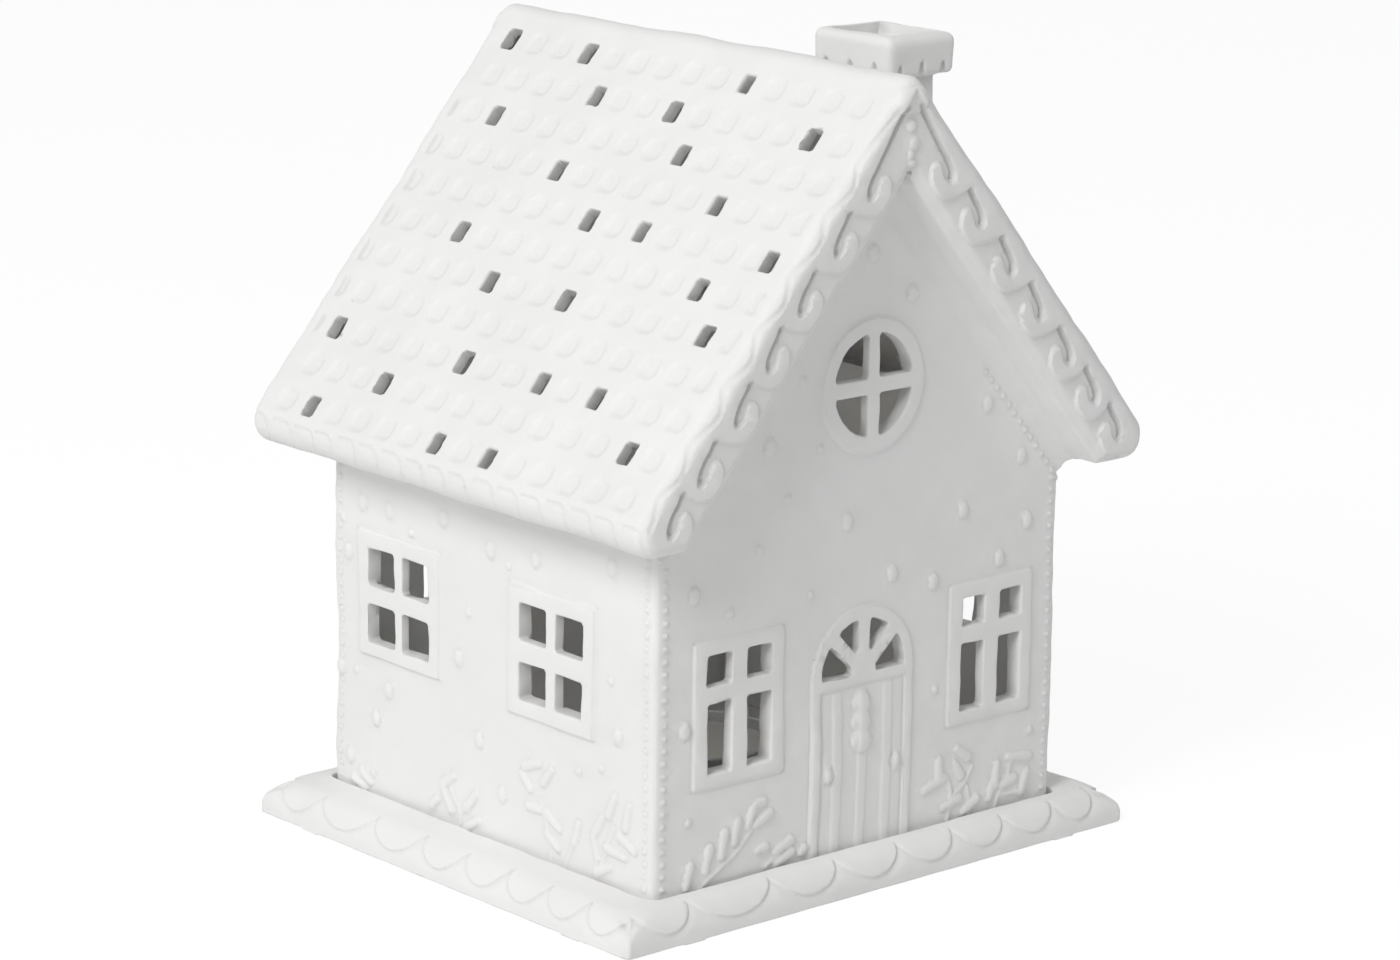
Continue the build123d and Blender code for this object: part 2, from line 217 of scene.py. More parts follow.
# Relief on the walls: places across and up each wall as seen from outside. Two sizes of drop.
drop_radius, drop_height, drop_tall = 1.6, 0.75, 1.3
small_radius, small_height = 1.1, 0.5
front_drops = [
    (-5.8, 81), (29.5, 78.1), (49.9, 72.5), (41.1, 65.2), (8, 67.3), (20.7, 63.3), (-49.3, 71.9),
    (-51.6, 42.6), (35.8, 101.2), (47, 87.9), (-28.5, 101), (11.9, 129.1), (0, 139.4),
]
front_small_drops = [
    (-23.3, 88.9), (-16.3, 66.5), (-31.4, 79), (-39.2, 66.3), (22.2, 38.1), (52.5, 23.1),
    (-50.3, 21.9), (-14.3, 98.5), (-19.3, 114),
]
side_drops = [
    (44.4, 73.9), (34.5, 73.8), (15.6, 75.9), (49.6, 61.5), (-0.8, 72), (-16.1, 73.2),
    (-41.2, 76.6), (10.6, 45.1), (35.4, 31.9), (39.8, 24.5), (2.8, 28.1), (-43.8, 40),
    (-5.1, 17.6), (53.1, 33.7), (49.1, 13.6),
]
side_small_drops = [
    (51.4, 69), (27, 70.3), (-7, 70), (7.1, 56.3), (47.5, 34.3), (-41.6, 52.1), (-31.1, 29.3),
    (-38.6, 31.9), (40.9, 11.3),
]
leaf_radius, leaf_height = 1.35, 0.6
leaf_start_share = 0.8
stem_radius, stem_height = 0.7, 0.35
side_plants_tall = 1.14
front_leaves = [
    [(-50.6, 7.5), (-49.4, 12)], [(-45.2, 10.2), (-44, 15)], [(-40.9, 12.6), (-39.8, 17.6)],
    [(-37.2, 15), (-36.2, 19.5)], [(-33.2, 18), (-31.5, 22), (-29, 22.6)],
    [(-31, 17.8), (-27, 19.6)], [(-25, 10.4), (-20.5, 12)], [(-24.5, 7.6), (-20.3, 9.3)],
    [(-30, 11.8), (-28, 12)], [(-17.4, 8.6), (-16.4, 9.4)],
    [(19.7, 15), (25.5, 17)], [(24, 21.5), (24.3, 17.5)], [(29.5, 23), (33, 20.5)],
    [(29, 19.6), (31, 16.6)], [(25.5, 10), (30.5, 11.2)], [(31.8, 7.8), (36, 10)],
    [(42.5, 17), (42, 12)], [(46, 17.8), (52.5, 17)], [(44, 11.6), (48, 12.6)],
    [(40, 9.5), (41, 12)], [(52, 13.5), (50.5, 9)],
]
front_stems = [
    [(-47, 6.5), (-42, 9.5), (-36, 13), (-31.5, 17.5)], [(-44, 9), (-45, 9.5)],
    [(-28, 7.5), (-24, 9.6)],
    [(27, 6), (28, 12), (26.5, 17), (24.3, 17.5)], [(28, 12), (32, 14.5), (34.5, 18)],
    [(33, 13.5), (34, 8.5), (33, 5.5)], [(42, 5.5), (43, 9.5), (46, 13.5), (47, 17)],
    [(43, 9.5), (49, 9), (50.5, 9)],
]
side_leaves = [
    [(4, 14), (7.6, 10.6)], [(12, 16), (15.6, 14)], [(3, 9), (7.6, 6.6)], [(15.6, 13), (13, 9)],
    [(17.5, 10.5), (19.5, 8.6)], [(-22, 24.6), (-19, 21.5)], [(-18, 25), (-13, 23.6)],
    [(-11.9, 22), (-14.6, 19.4)], [(-24.6, 13.4), (-20, 15.6)], [(-18, 15.8), (-14.2, 15.8)],
    [(-24, 9.4), (-20.4, 11.6)], [(-31, 16), (-29.5, 12)], [(-36, 15), (-37.5, 11)],
    [(-47.6, 23), (-46.4, 18.6)], [(-43, 24), (-41, 20)], [(-39, 19), (-37, 16)],
    [(-49.5, 14.6), (-44.6, 16.6)], [(-46.5, 12.8), (-40.6, 13.4)], [(-42, 10), (-37.6, 8)],
    [(42, 8.4), (45, 10)], [(44, 6.6), (48, 8.2)],
]
side_stems = [
    [(10.5, 5.2), (10, 9), (13, 13.4)], [(10, 9), (7.6, 10.6)], [(-22, 5.2), (-21, 11), (-18, 18)],
    [(-29.5, 12), (-27, 7.6), (-26.4, 5.2)], [(-37.5, 11), (-36.6, 5.2)],
    [(-37, 5.4), (-40, 12), (-42.4, 18)], [(-40, 12), (-45, 14.6)], [(46, 5.2), (45, 8)],
]

# Rows of small beads. Upright rows stand this far out from each wall's middle and stop this far
# below the eaves. The row along each slope of the front gable runs this far under the slope's
# line, from one height to the other; its shift sets where its beads fall.
bead_pitch, bead_radius, bead_height = 2.8, 0.75, 0.45
side_bead_line, side_bead_gap = 52.6, 6
front_bead_line, front_bead_gap, back_bead_gap = 57.2, 4.5, 3
rake_bead_drop, rake_bead_low, rake_bead_top = 4.8, 20, 112.0
rake_bead_shift = 200


def bead_row(field, along, across, low, high):
    """Small beads along a straight line: along runs with it and across is the distance from it."""
    step = np.round(along / bead_pitch) * bead_pitch
    d = np.hypot(along - step, across) / bead_radius
    inside = (along > low) & (along < high)
    field.height = np.maximum(
        field.height, inside * bead_height * np.sqrt(np.clip(1 - d * d, 0, 1))
    )


def wall_drops(field, drops, small_drops):
    for u, v in drops:
        field.bump(u, v, drop_radius, drop_height, drop_tall)
    for u, v in small_drops:
        field.bump(u, v, small_radius, small_height)


def plants(field, leaves, stems, tall=1.0):
    """Leaves and stems; tall stretches them upwards from the foot of the wall."""
    def stretched(points):
        return [(u, wall_foot + (v - wall_foot) * tall) for u, v in points]

    for points in stems:
        field.cord(stretched(points), stem_radius, stem_height)
    for points in leaves:
        field.cord(stretched(points), leaf_radius * leaf_start_share, leaf_height, leaf_radius)


# The bunch on the door: its middle, the height and radius of each bulge, and the smaller bulge to
# each side of it, whose place and size are shares of that radius
bunch_middle = -0.4
bunch_bulges = ((39.6, 2.7), (35.4, 3.0), (31.2, 3.1))
bulge_height, side_bulge_height = 0.85, 0.75
side_bulge_out, side_bulge_share, side_bulge_down = 0.62, 0.45, 0.5

# The door's knobs: how far out, the height of the solid's round ones, how they are sunk, and the
# heights and sizes of the slim ones in their place
knob_out, knob_z = 10.4, 24.5
knob_clear, knob_slope, knob_sunk = 2.6, 1.2, 0.5
slim_knobs = ((-1, 25.0), (1, 24.2))
slim_half, slim_radius, slim_height = 1.2, 1.2, 0.45


def door_garland(field):
    """A hanging bunch of three round bulges."""
    for v, wide in bunch_bulges:
        field.bump(bunch_middle, v, wide, bulge_height)
        for side in (-1, 1):
            beside = bunch_middle + side * wide * side_bulge_out
            field.bump(beside, v - side_bulge_down, wide * side_bulge_share, side_bulge_height)


def door_knobs(field):
    """Sinks the solid's round knobs and raises slim upright ones."""
    for side, v in slim_knobs:
        spot = side * knob_out
        at = field.near(spot - knob_clear, spot + knob_clear, v - knob_clear, v + knob_clear)
        d = np.hypot(field.u[at] - spot, field.v[at] - knob_z)
        field.cut_to(at, knob_sunk * smooth((knob_clear - d) / knob_slope))
        field.cord([(spot, v - slim_half), (spot, v + slim_half)], slim_radius, slim_height)


# Fine sunk lines round the windows and the door: the middle of each window's frame across the
# wall, the frame's foot, and its width and height
line_half, line_depth = 0.6, 0.3
tall_frames = [(-36.4, 28.5), (38.9, 28.5)]
tall_frame_size = (25.8, 32.6)
side_frames = [(31.6, 38.3), (-21.7, 37.1)]
back_frames = [(-25.8, 41.1), (25.8, 41.1)]
square_frame_size = (29.3, 29.6)
ring_centre, ring_radius = (1.0, 110.3), 15.2
door_half, door_spring = 15.3, 46.2
panel_half, panel_top = 12.4, 43.3

# No drop on the back wall between these heights, where its windows are
back_window_band = (36, 72)


def round_line(centre, radius, start, end, steps=48):
    turns = np.radians(np.linspace(start, end, steps + 1))
    return [(centre[0] + radius * math.cos(t), centre[1] + radius * math.sin(t)) for t in turns]


def frame_lines(field, places, size):
    """A line round the foot of each raised window frame."""
    wide, high = size[0] / 2, size[1]
    for u, v in places:
        corners = [(u - wide, v), (u + wide, v), (u + wide, v + high), (u - wide, v + high)]
        field.groove(corners + corners[:1], line_half, line_depth)


def door_lines(field):
    """Lines round the door's arch and round the panel under its fanlight."""
    arch = round_line((0, door_spring), door_half, 0, 180)
    arch = [(door_half, wall_foot)] + arch + [(-door_half, wall_foot)]
    field.groove(arch, line_half, line_depth)
    panel = [(-panel_half, wall_foot), (-panel_half, panel_top), (panel_half, panel_top)]
    field.groove(panel + [(panel_half, wall_foot)], line_half, line_depth)


def corner_beads(field, line, gap):
    """A row of beads up the wall near each end."""
    for side in (-1, 1):
        bead_row(field, field.v, field.u - side * line, wall_foot + 1, eave_z - gap)


def rake_beads(field):
    """A row of beads under each slope of the gable, up to the round window's height."""
    start = rake_bead_shift + (half_wall_x - (rake_bead_top - eave_z) / rise) * cos_p
    start -= rake_bead_top * sin_p
    end = rake_bead_shift - rake_bead_low * sin_p
    for side in (-1, 1):
        under = (eave_z + rise * (half_wall_x - side * field.u) - field.v) * cos_p
        along = side * field.u * cos_p - field.v * sin_p
        bead_row(field, along + rake_bead_shift, under - rake_bead_drop, start, end)


def front_wall(surface):
    x, y, z = surface.place.T
    chosen = (y < wall_reach - half_wall_y) & (y > -half_wall_y - wall_reach)
    field = Field(surface, chosen, x, z, surface.facing((0, -1, 0)))
    wall_drops(field, front_drops, front_small_drops)
    plants(field, front_leaves, front_stems)
    frame_lines(field, tall_frames, tall_frame_size)
    field.groove(round_line(ring_centre, ring_radius, 0, 360), line_half, line_depth)
    door_lines(field)
    corner_beads(field, front_bead_line, front_bead_gap)
    rake_beads(field)
    door_garland(field)
    door_knobs(field)
    field.apply()


def back_wall(surface):
    x, y, z = surface.place.T
    chosen = (y > half_wall_y - wall_reach) & (y < half_wall_y + wall_reach)
    field = Field(surface, chosen, -x, z, surface.facing((0, 1, 0)))
    low, high = back_window_band
    wall_drops(field, *(
        [(u, v) for u, v in drops if not low < v < high]
        for drops in (front_drops, front_small_drops)
    ))
    plants(field, front_leaves, front_stems)
    frame_lines(field, back_frames, square_frame_size)
    corner_beads(field, front_bead_line, back_bead_gap)
    field.apply()


def side_walls(surface):
    x, y, z = surface.place.T
    for side in (-1, 1):
        chosen = (abs(side * x - half_wall_x) < wall_reach) & (z < eave_z)
        field = Field(surface, chosen, y, z, surface.facing((side, 0, 0)))
        wall_drops(field, side_drops, side_small_drops)
        plants(field, side_leaves, side_stems, side_plants_tall)
        frame_lines(field, side_frames, square_frame_size)
        corner_beads(field, side_bead_line, side_bead_gap)
        field.apply()


# Running scroll on the gable boards. A raised band along the roof's edge hangs down in hooks over
# a sunk field. Places are (distance down the slope, distance in from the roof's edge), and each
# hook is drawn about its eye.
right_curls = (25.4, 39.6, 54.9, 69.6, 84.1, 97.3, 109.8)
left_curls = (26.95, 41.4, 56.2, 70.2, 83.8, 98.4, 111.2)
board_sink = 0.7
scroll_height = 0.7
scroll_slope = 0.42
hollow_half, hollow_depth = 0.75, 0.8
hollow_start = (-0.4, 0.9)
board_thick, board_wide = 3.6, 15.2
board_facing, edge_facing = (0.25, 0.7), (0.0, 0.35)
band_top = -4.0
hook_overlap = 1
notch_back, notch_in = 7.1, 4.3
scroll_start = (8.0, 3.2)
scroll_end_past, scroll_end_in = 12.0, 9.0
hook_shape = [
    (-5.0, 4.9), (-2.0, 5.2), (0.7, 6.0), (2.1, 7.3), (1.5, 8.6), (-0.4, 8.9), (-2.2, 8.2),
    (-3.6, 7.7), (-4.9, 8.6), (-4.9, 10.1), (-3.4, 11.8), (-0.8, 12.7), (2.2, 12.3), (4.6, 10.0),
]
hollow_shape = [(-4.6, 5.6), (-2.0, 5.9), (0.2, 6.7), (0.9, 7.6)]
icing_start = (9, 2.4)
icing_wave = [(-3.7, 0.8), (0.5, 1.7), (3.4, 2.3)]
icing_half, icing_depths = 0.7, {-1: 0.24, 1: 0.08}


def hook(field, start, eye, end):
    """One hook: from the notch before it, round its hollow and its tongue, to the notch after.
    It reaches a little into its neighbours, so that no line shows where two of them meet."""
    line = curved([start] + [(eye + a, b) for a, b in hook_shape] + [end])
    left, right = start[0] - hook_overlap, end[0] + hook_overlap
    before = [(left, band_top), (left, start[1] - hook_overlap)]
    after = [(right, end[1] - hook_overlap), (right, band_top)]
    field.plateau(before + [tuple(p) for p in line] + after, scroll_height, scroll_slope)
    first = (start[0] + hollow_start[0], start[1] + hollow_start[1])
    hollow = curved([first] + [(eye + a, b) for a, b in hollow_shape])
    field.groove(hollow, hollow_half, board_sink + hollow_depth)


def gable_boards(surface):
    x, y, z = surface.place.T
    for end in (-1, 1):
        for side, eyes in ((-1, left_curls), (1, right_curls)):
            across = side * end * -x
            a = across * cos_p - (z - apex_z) * sin_p
            b = -(across * sin_p + (z - apex_z) * cos_p)
            chosen = (end * y > gable_y - board_thick) & (across > 0) & (b < board_wide)
            field = Field(surface, chosen, a, b, surface.facing((0, end, 0), *board_facing))
            field.depth[:] = board_sink
            notches = [scroll_start] + [(eye - notch_back, notch_in) for eye in eyes[1:]]
            notches.append((eyes[-1] + scroll_end_past, scroll_end_in))
            for start, eye, stop in zip(notches, eyes, notches[1:]):
                hook(field, start, eye, stop)
            top, low = band_top, scroll_start[1]
            field.plateau(
                [(top, top), (top, low), (scroll_start[0], low), (scroll_start[0], top)],
                scroll_height, scroll_slope,
            )
            field.apply()
            edge = Field(surface, chosen, a, b, surface.facing((0, end, 0), *edge_facing))
            wave = [(eye + down, within) for eye in eyes for down, within in icing_wave]
            edge.groove(curved([icing_start] + wave), icing_half, icing_depths[side])
            edge.apply()


# The ornament at the gable's point: its knob's line, and its beads' places and radii
apex_reach = 8
apex_knob = [(-2.2, 173.8), (1.0, 173.8)]
apex_knob_radius, apex_knob_height = 3.0, 0.9
apex_beads = [(-0.4, 168.4, 1.5), (0.3, 164.6, 1.7), (-0.6, 162.2, 1.2), (0, 160.2, 1.1)]
apex_bead_height = 0.6


def apex_ornament(surface):
    """A knob at the point of the gable, with a string of beads hanging from it."""
    x, y, z = surface.place.T
    for end in (-1, 1):
        chosen = (end * y > gable_y - board_thick) & (abs(x) < apex_reach)
        field = Field(surface, chosen, x, z, surface.facing((0, end, 0), *board_facing))
        field.cord(apex_knob, apex_knob_radius, apex_knob_height)
        for u, v, radius in apex_beads:
            field.bump(u, v, radius, apex_bead_height)
        field.apply()


# Dimples pressed into the roof, in rows along the ridge. Each row is shifted by its own share of
# the space between dimples. No dimple is pressed where the roof has a hole, which is found by the
# hole's upright walls.
first_row, row_pitch = 11.6, 9.87
column_pitch = 8.9
row_phases = np.array([0.43, 0.33, 0.22, 0.02, -0.06, 0.01, 0.02, 0.12, 0.24, 0.33, 0.47])
dimple_half = 3.0
dimple_depth = 0.65
dimple_edge, dimple_slope = 1.15, 0.6
dimple_end_gap = 5
hole_half_y, hole_half_a = 2.6, 3.2
hole_from, hole_to = 0.9, 2.6


def roof_dimples(surface):
    """Places are a, down the slope from the ridge, and b, inwards from the roof's face."""
    x, y, z = surface.place.T
    for side in (-1, 1):
        a = side * x * cos_p - (z - apex_z) * sin_p
        b = -(side * x * sin_p + (z - apex_z) * cos_p)
        row = np.clip(np.round((a - first_row) / row_pitch), 0, len(row_phases) - 1).astype(int)
        shift = row_phases[row]
        column = np.round(y / column_pitch - shift)
        du = y - (column + shift) * column_pitch
        dv = a - first_row - row * row_pitch
        cell = row * 100 + column + 50
        upright = surface.n @ np.array((side * sin_p, 0, cos_p))
        top = (side * x > 0) & (b < hole_to) & (abs(y) < gable_y)
        in_hole = top & (b > hole_from) & (abs(upright) < 0.3)
        in_hole &= (abs(du) < hole_half_y) & (abs(dv) < hole_half_a)
        holed = np.unique(cell[in_hole])
        level = ((abs(du) / dimple_half) ** 3 + (abs(dv) / dimple_half) ** 3) ** (1 / 3)
        pressed = smooth((dimple_edge - level) / dimple_slope)
        pressed *= abs(y) < gable_y - dimple_end_gap
        keep = top & ~np.isin(cell, holed) & (abs(b) < 1)
        surface.move -= keep * dimple_depth * pressed * smooth((upright - 0.6) / 0.3)


# Fine lines like hanging tabs along the eaves: flat on top, and turned down at one end. Their
# places vary a little from tab to tab.
eave_tabs = 17
tab_top, tab_foot = 5.6, 1
tab_turn, tab_lean = 2.2, 0.2
tab_share, tab_start = 0.70, 0.15
far_play, near_play, top_play = 0.5, 0.4, 0.3
eave_facing = (0.1, 0.4)


def eave_edges(surface):
    x, y, z = surface.place.T
    tab_pitch = 2 * gable_y / eave_tabs
    draw = np.random.default_rng(5)
    for side in (-1, 1):
        chosen = (side * x > eave_x - 6) & (z > eave_z - 3) & (abs(y) < gable_y - 0.5)
        field = Field(surface, chosen, y, z, surface.facing((side, 0, 0), *eave_facing))
        for n in range(eave_tabs):
            far = gable_y - (n + tab_start) * tab_pitch + draw.uniform(-far_play, far_play)
            near = far - tab_share * tab_pitch + draw.uniform(-near_play, near_play)
            top = eave_z + tab_top + draw.uniform(-top_play, top_play)
            turn = round_line((near + tab_turn, top - tab_turn), tab_turn, 90, 180, 6)
            tab = [(far, top)] + turn + [(near - tab_lean, eave_z + tab_foot)]
            field.groove(tab, line_half, line_depth)
        field.apply()


# The chimney: its middle, its flue, and how much its mouth opens out and its cap is rounded
chimney_x, chimney_y = 28.4, -27.9
cap_half_x, cap_half_y, cap_high = 10.25, 12.05, 9.2
flue_half_x, flue_half_y = 4.55, 6.35
mouth_wider, mouth_deep, mouth_reach = 2.2, 7.0, 3.6
cap_rounds = 7


def open_mouth(surface):
    """Opens the flue out towards the top, up to a thin lip."""
    up = mouth_wider * smooth((surface.p[:, 2] - house_high.z + mouth_deep) / (mouth_deep - 2))
    across = surface.p[:, :2] - (chimney_x, chimney_y)
    beyond = abs(across) - (flue_half_x, flue_half_y)
    share = smooth((beyond + 1.5) / 1.5) * (1 - smooth(beyond / mouth_reach))
    there = np.all(abs(across) < (cap_half_x - 1, cap_half_y - 1), axis=1)
    surface.p[:, :2] += np.sign(across) * share * (up * there)[:, None]


def softer_cap(piece):
    """More rounding on the chimney's cap than elsewhere."""
    points = Surface(piece.data).p
    across = abs(points[:, :2] - (chimney_x, chimney_y))
    there = np.all(across < (cap_half_x + 2, cap_half_y + 2), axis=1)
    there &= points[:, 2] > house_high.z - cap_high - 1
    group = piece.vertex_groups.new(name="cap")
    group.add([int(n) for n in np.nonzero(there)[0]], 1.0, "REPLACE")
    rounding = piece.modifiers.new("cap", "SMOOTH")
    rounding.vertex_group = group.name
    rounding.factor = 0.5
    rounding.iterations = cap_rounds
    bake(piece)


# Unevenness: its height, then its swells' length, their number and their seed
slow_swells = (0.16, 34, 10, 11)
quick_swells = (0.05, 7, 14, 12)
plate_swells = (0.05, 9, 12, 21)


def hand_made(surface):
    """Slow and quick unevenness, as slip casting and hand trimming leave it."""
    above = smooth((surface.place[:, 2] - wall_foot - 0.5) / 3)
    for height, length, count, seed in (slow_swells, quick_swells):
        surface.move += above * height * waves(surface.p, length, count, seed)


def softened(node, name, voxel):
    """A copy of a solid's mesh with an even skin and softly rounded edges."""
    piece = bpy.data.objects.new(name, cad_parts[node].data.copy())
    bpy.context.scene.collection.objects.link(piece)
    remesh = piece.modifiers.new("skin", "REMESH")
    remesh.mode = "VOXEL"
    remesh.voxel_size = voxel * MM
    rounding = piece.modifiers.new("round", "SMOOTH")
    rounding.factor = 0.5
    rounding.iterations = soft_rounds
    bake(piece)
    return piece


def bake(piece):
    """Turns the piece's modifiers into its mesh."""
    ready = piece.evaluated_get(bpy.context.evaluated_depsgraph_get())
    made = bpy.data.meshes.new_from_object(ready)
    old = piece.data
    piece.modifiers.clear()
    piece.data = made
    bpy.data.meshes.remove(old)


def thinned(piece, triangles):
    """Fewer faces where the surface is flat, and normals that follow the large faces."""
    now = sum(len(face.vertices) - 2 for face in piece.data.polygons)
    fewer = piece.modifiers.new("fewer", "DECIMATE")
    fewer.ratio = min(1.0, triangles / now)
    fewer.use_collapse_triangulate = True
    bake(piece)
    piece.data.shade_smooth()
    piece.modifiers.new("normals", "WEIGHTED_NORMAL").keep_sharp = False


def node_at(tree, kind, x, y, **values):
    made = tree.nodes.new(kind)
    made.location = (x, y)
    for key, value in values.items():
        setattr(made, key, value)
    return made


def noise(tree, place, scale, detail, x, y):
    made = node_at(tree, "ShaderNodeTexNoise", x, y)
    made.inputs["Scale"].default_value = scale
    made.inputs["Detail"].default_value = detail
    tree.links.new(place, made.inputs["Vector"])
    return made.outputs["Fac"]


def ramp(tree, value, stops, x, y):
    made = node_at(tree, "ShaderNodeValToRGB", x, y)
    first, last = made.color_ramp.elements
    (first.position, first.color), (last.position, last.color) = stops
    tree.links.new(value, made.inputs["Fac"])
    return made.outputs["Color"]


def between(tree, value, low, high, x, y):
    made = node_at(tree, "ShaderNodeMapRange", x, y)
    made.inputs["From Min"].default_value = 0.3
    made.inputs["From Max"].default_value = 0.7
    made.inputs["To Min"].default_value = low
    made.inputs["To Max"].default_value = high
    tree.links.new(value, made.inputs["Value"])
    return made.outputs["Result"]


def bumped(tree, height, strength, distance, x, y, before=None):
    made = node_at(tree, "ShaderNodeBump", x, y)
    made.inputs["Strength"].default_value = strength
    made.inputs["Distance"].default_value = distance
    tree.links.new(height, made.inputs["Height"])
    if before is not None:
        tree.links.new(before, made.inputs["Normal"])
    return made.outputs["Normal"]


def new_material(name):
    made = bpy.data.materials.new(name)
    made.use_nodes = True
    tree = made.node_tree
    shader = tree.nodes["Principled BSDF"]
    place = node_at(tree, "ShaderNodeTexCoord", -1400, 0).outputs["Object"]
    return made, tree, shader, place


# How far the painted shade in the porcelain's hollows looks for nearby surfaces
painted_shade_reach = 0.004


def colour_sockets(mix):
    """The two colours that go into a colour mix, and the one that comes out."""
    into = [socket for socket in mix.inputs if socket.type == "RGBA"]
    return into[0], into[1], next(socket for socket in mix.outputs if socket.type == "RGBA")


def porcelain():
    """Unglazed white porcelain: matt, very slightly mottled, with painted shade that greys its
    hollows, and with a fine dry grain."""
    made, tree, shader, place = new_material("bisque porcelain")
    cloud = noise(tree, place, 45, 3, -1100, 300)
    colour = ramp(tree, cloud, (
        (0.35, (0.905, 0.900, 0.888, 1)), (0.65, (0.930, 0.927, 0.918, 1)),
    ), -800, 300)
    # Painted shade: the colour is multiplied by a grey that deepens where the porcelain's own
    # surfaces close in, in hollows, grooves and under overhangs
    openness = node_at(tree, "ShaderNodeAmbientOcclusion", -1100, 600, samples=6, only_local=True)
    openness.inputs["Distance"].default_value = painted_shade_reach
    hollow = ramp(tree, openness.outputs["AO"], (
        (0.6, (0.74, 0.74, 0.74, 1)), (1.0, (1.0, 1.0, 1.0, 1)),
    ), -800, 600)
    both = node_at(tree, "ShaderNodeMix", -400, 400, data_type="RGBA", blend_type="MULTIPLY")
    both.inputs[0].default_value = 1.0
    first, second, mixed = colour_sockets(both)
    tree.links.new(colour, first)
    tree.links.new(hollow, second)
    tree.links.new(mixed, shader.inputs["Base Color"])
    rough = between(tree, noise(tree, place, 160, 2, -1100, 0), 0.58, 0.72, -800, 0)
    tree.links.new(rough, shader.inputs["Roughness"])
    swell = noise(tree, place, 420, 2, -1100, -300)
    grain = noise(tree, place, 2600, 3, -1100, -600)
    normal = bumped(tree, swell, 0.35, 0.00016, -800, -300)
    normal = bumped(tree, grain, 0.25, 0.00004, -500, -400, normal)
    tree.links.new(normal, shader.inputs["Normal"])
    shader.inputs["Specular IOR Level"].default_value = 0.32
    return made


def drawn_aluminium():
    """Thin drawn foil: satin, with upright draw lines."""
    made, tree, shader, place = new_material("drawn aluminium")
    stretch = node_at(tree, "ShaderNodeMapping", -1200, -300)
    stretch.inputs["Scale"].default_value = (1, 1, 0.05)
    tree.links.new(place, stretch.inputs["Vector"])
    lines = noise(tree, stretch.outputs["Vector"], 1500, 2, -1000, -300)
    cloud = noise(tree, place, 120, 2, -1000, 200)
    colour = ramp(tree, cloud, (
        (0.3, (0.74, 0.74, 0.76, 1)), (0.7, (0.82, 0.82, 0.84, 1)),
    ), -700, 200)
    tree.links.new(colour, shader.inputs["Base Color"])
    tree.links.new(between(tree, lines, 0.26, 0.42, -700, 0), shader.inputs["Roughness"])
    tree.links.new(bumped(tree, lines, 0.4, 0.00005, -700, -300), shader.inputs["Normal"])
    shader.inputs["Metallic"].default_value = 1.0
    return made


def paraffin():
    """White wax: soft, a little milky, with faint frosting."""
    made, tree, shader, place = new_material("paraffin wax")
    cloud = noise(tree, place, 260, 4, -1100, 200)
    colour = ramp(tree, cloud, (
        (0.3, (0.90, 0.885, 0.84, 1)), (0.75, (0.94, 0.93, 0.895, 1)),
    ), -800, 200)
    tree.links.new(colour, shader.inputs["Base Color"])
    tree.links.new(between(tree, cloud, 0.3, 0.5, -800, 0), shader.inputs["Roughness"])
    dimpled = noise(tree, place, 700, 2, -1100, -300)
    tree.links.new(bumped(tree, dimpled, 0.3, 0.0001, -800, -300), shader.inputs["Normal"])
    shader.inputs["Subsurface Weight"].default_value = 0.35
    shader.inputs["Subsurface Radius"].default_value = (0.004, 0.003, 0.002)
    return made


def cotton():
    """Waxed cotton braid."""
    made, tree, shader, place = new_material("waxed cotton")
    fibre = noise(tree, place, 5000, 2, -1100, -300)
    colour = ramp(tree, fibre, (
        (0.3, (0.78, 0.75, 0.68, 1)), (0.7, (0.91, 0.89, 0.84, 1)),
    ), -800, 200)
    tree.links.new(colour, shader.inputs["Base Color"])
    tree.links.new(between(tree, fibre, 0.6, 0.85, -800, 0), shader.inputs["Roughness"])
    tree.links.new(bumped(tree, fibre, 0.5, 0.00008, -800, -300), shader.inputs["Normal"])
    shader.inputs["Sheen Weight"].default_value = 0.2
    return made


def tinned_steel():
    """Thin tinned sheet, brushed by its rolling."""
    made, tree, shader, place = new_material("tinned steel")
    stretch = node_at(tree, "ShaderNodeMapping", -1200, -300)
    stretch.inputs["Scale"].default_value = (0.05, 1, 1)
    tree.links.new(place, stretch.inputs["Vector"])
    lines = noise(tree, stretch.outputs["Vector"], 3000, 2, -1000, -300)
    colour = ramp(tree, lines, (
        (0.3, (0.58, 0.58, 0.58, 1)), (0.7, (0.72, 0.72, 0.71, 1)),
    ), -700, 200)
    tree.links.new(colour, shader.inputs["Base Color"])
    tree.links.new(between(tree, lines, 0.25, 0.45, -700, 0), shader.inputs["Roughness"])
    tree.links.new(bumped(tree, lines, 0.3, 0.00003, -700, -300), shader.inputs["Normal"])
    shader.inputs["Metallic"].default_value = 1.0
    return made


def dressed(piece, body, node, material):
    piece.data.materials.clear()
    piece.data.materials.append(material)
    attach(piece, body)
    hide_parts(node)


def house(material):
    piece = softened("house_shell", "house_porcelain", house_voxel)
    softer_cap(piece)
    surface = Surface(piece.data)
    open_mouth(surface)
    front_wall(surface)
    back_wall(surface)
    side_walls(surface)
    gable_boards(surface)
    apex_ornament(surface)
    roof_dimples(surface)
    eave_edges(surface)
    hand_made(surface)
    surface.apply()
    thinned(piece, house_triangles)
    dressed(piece, "house", "house_shell", material)


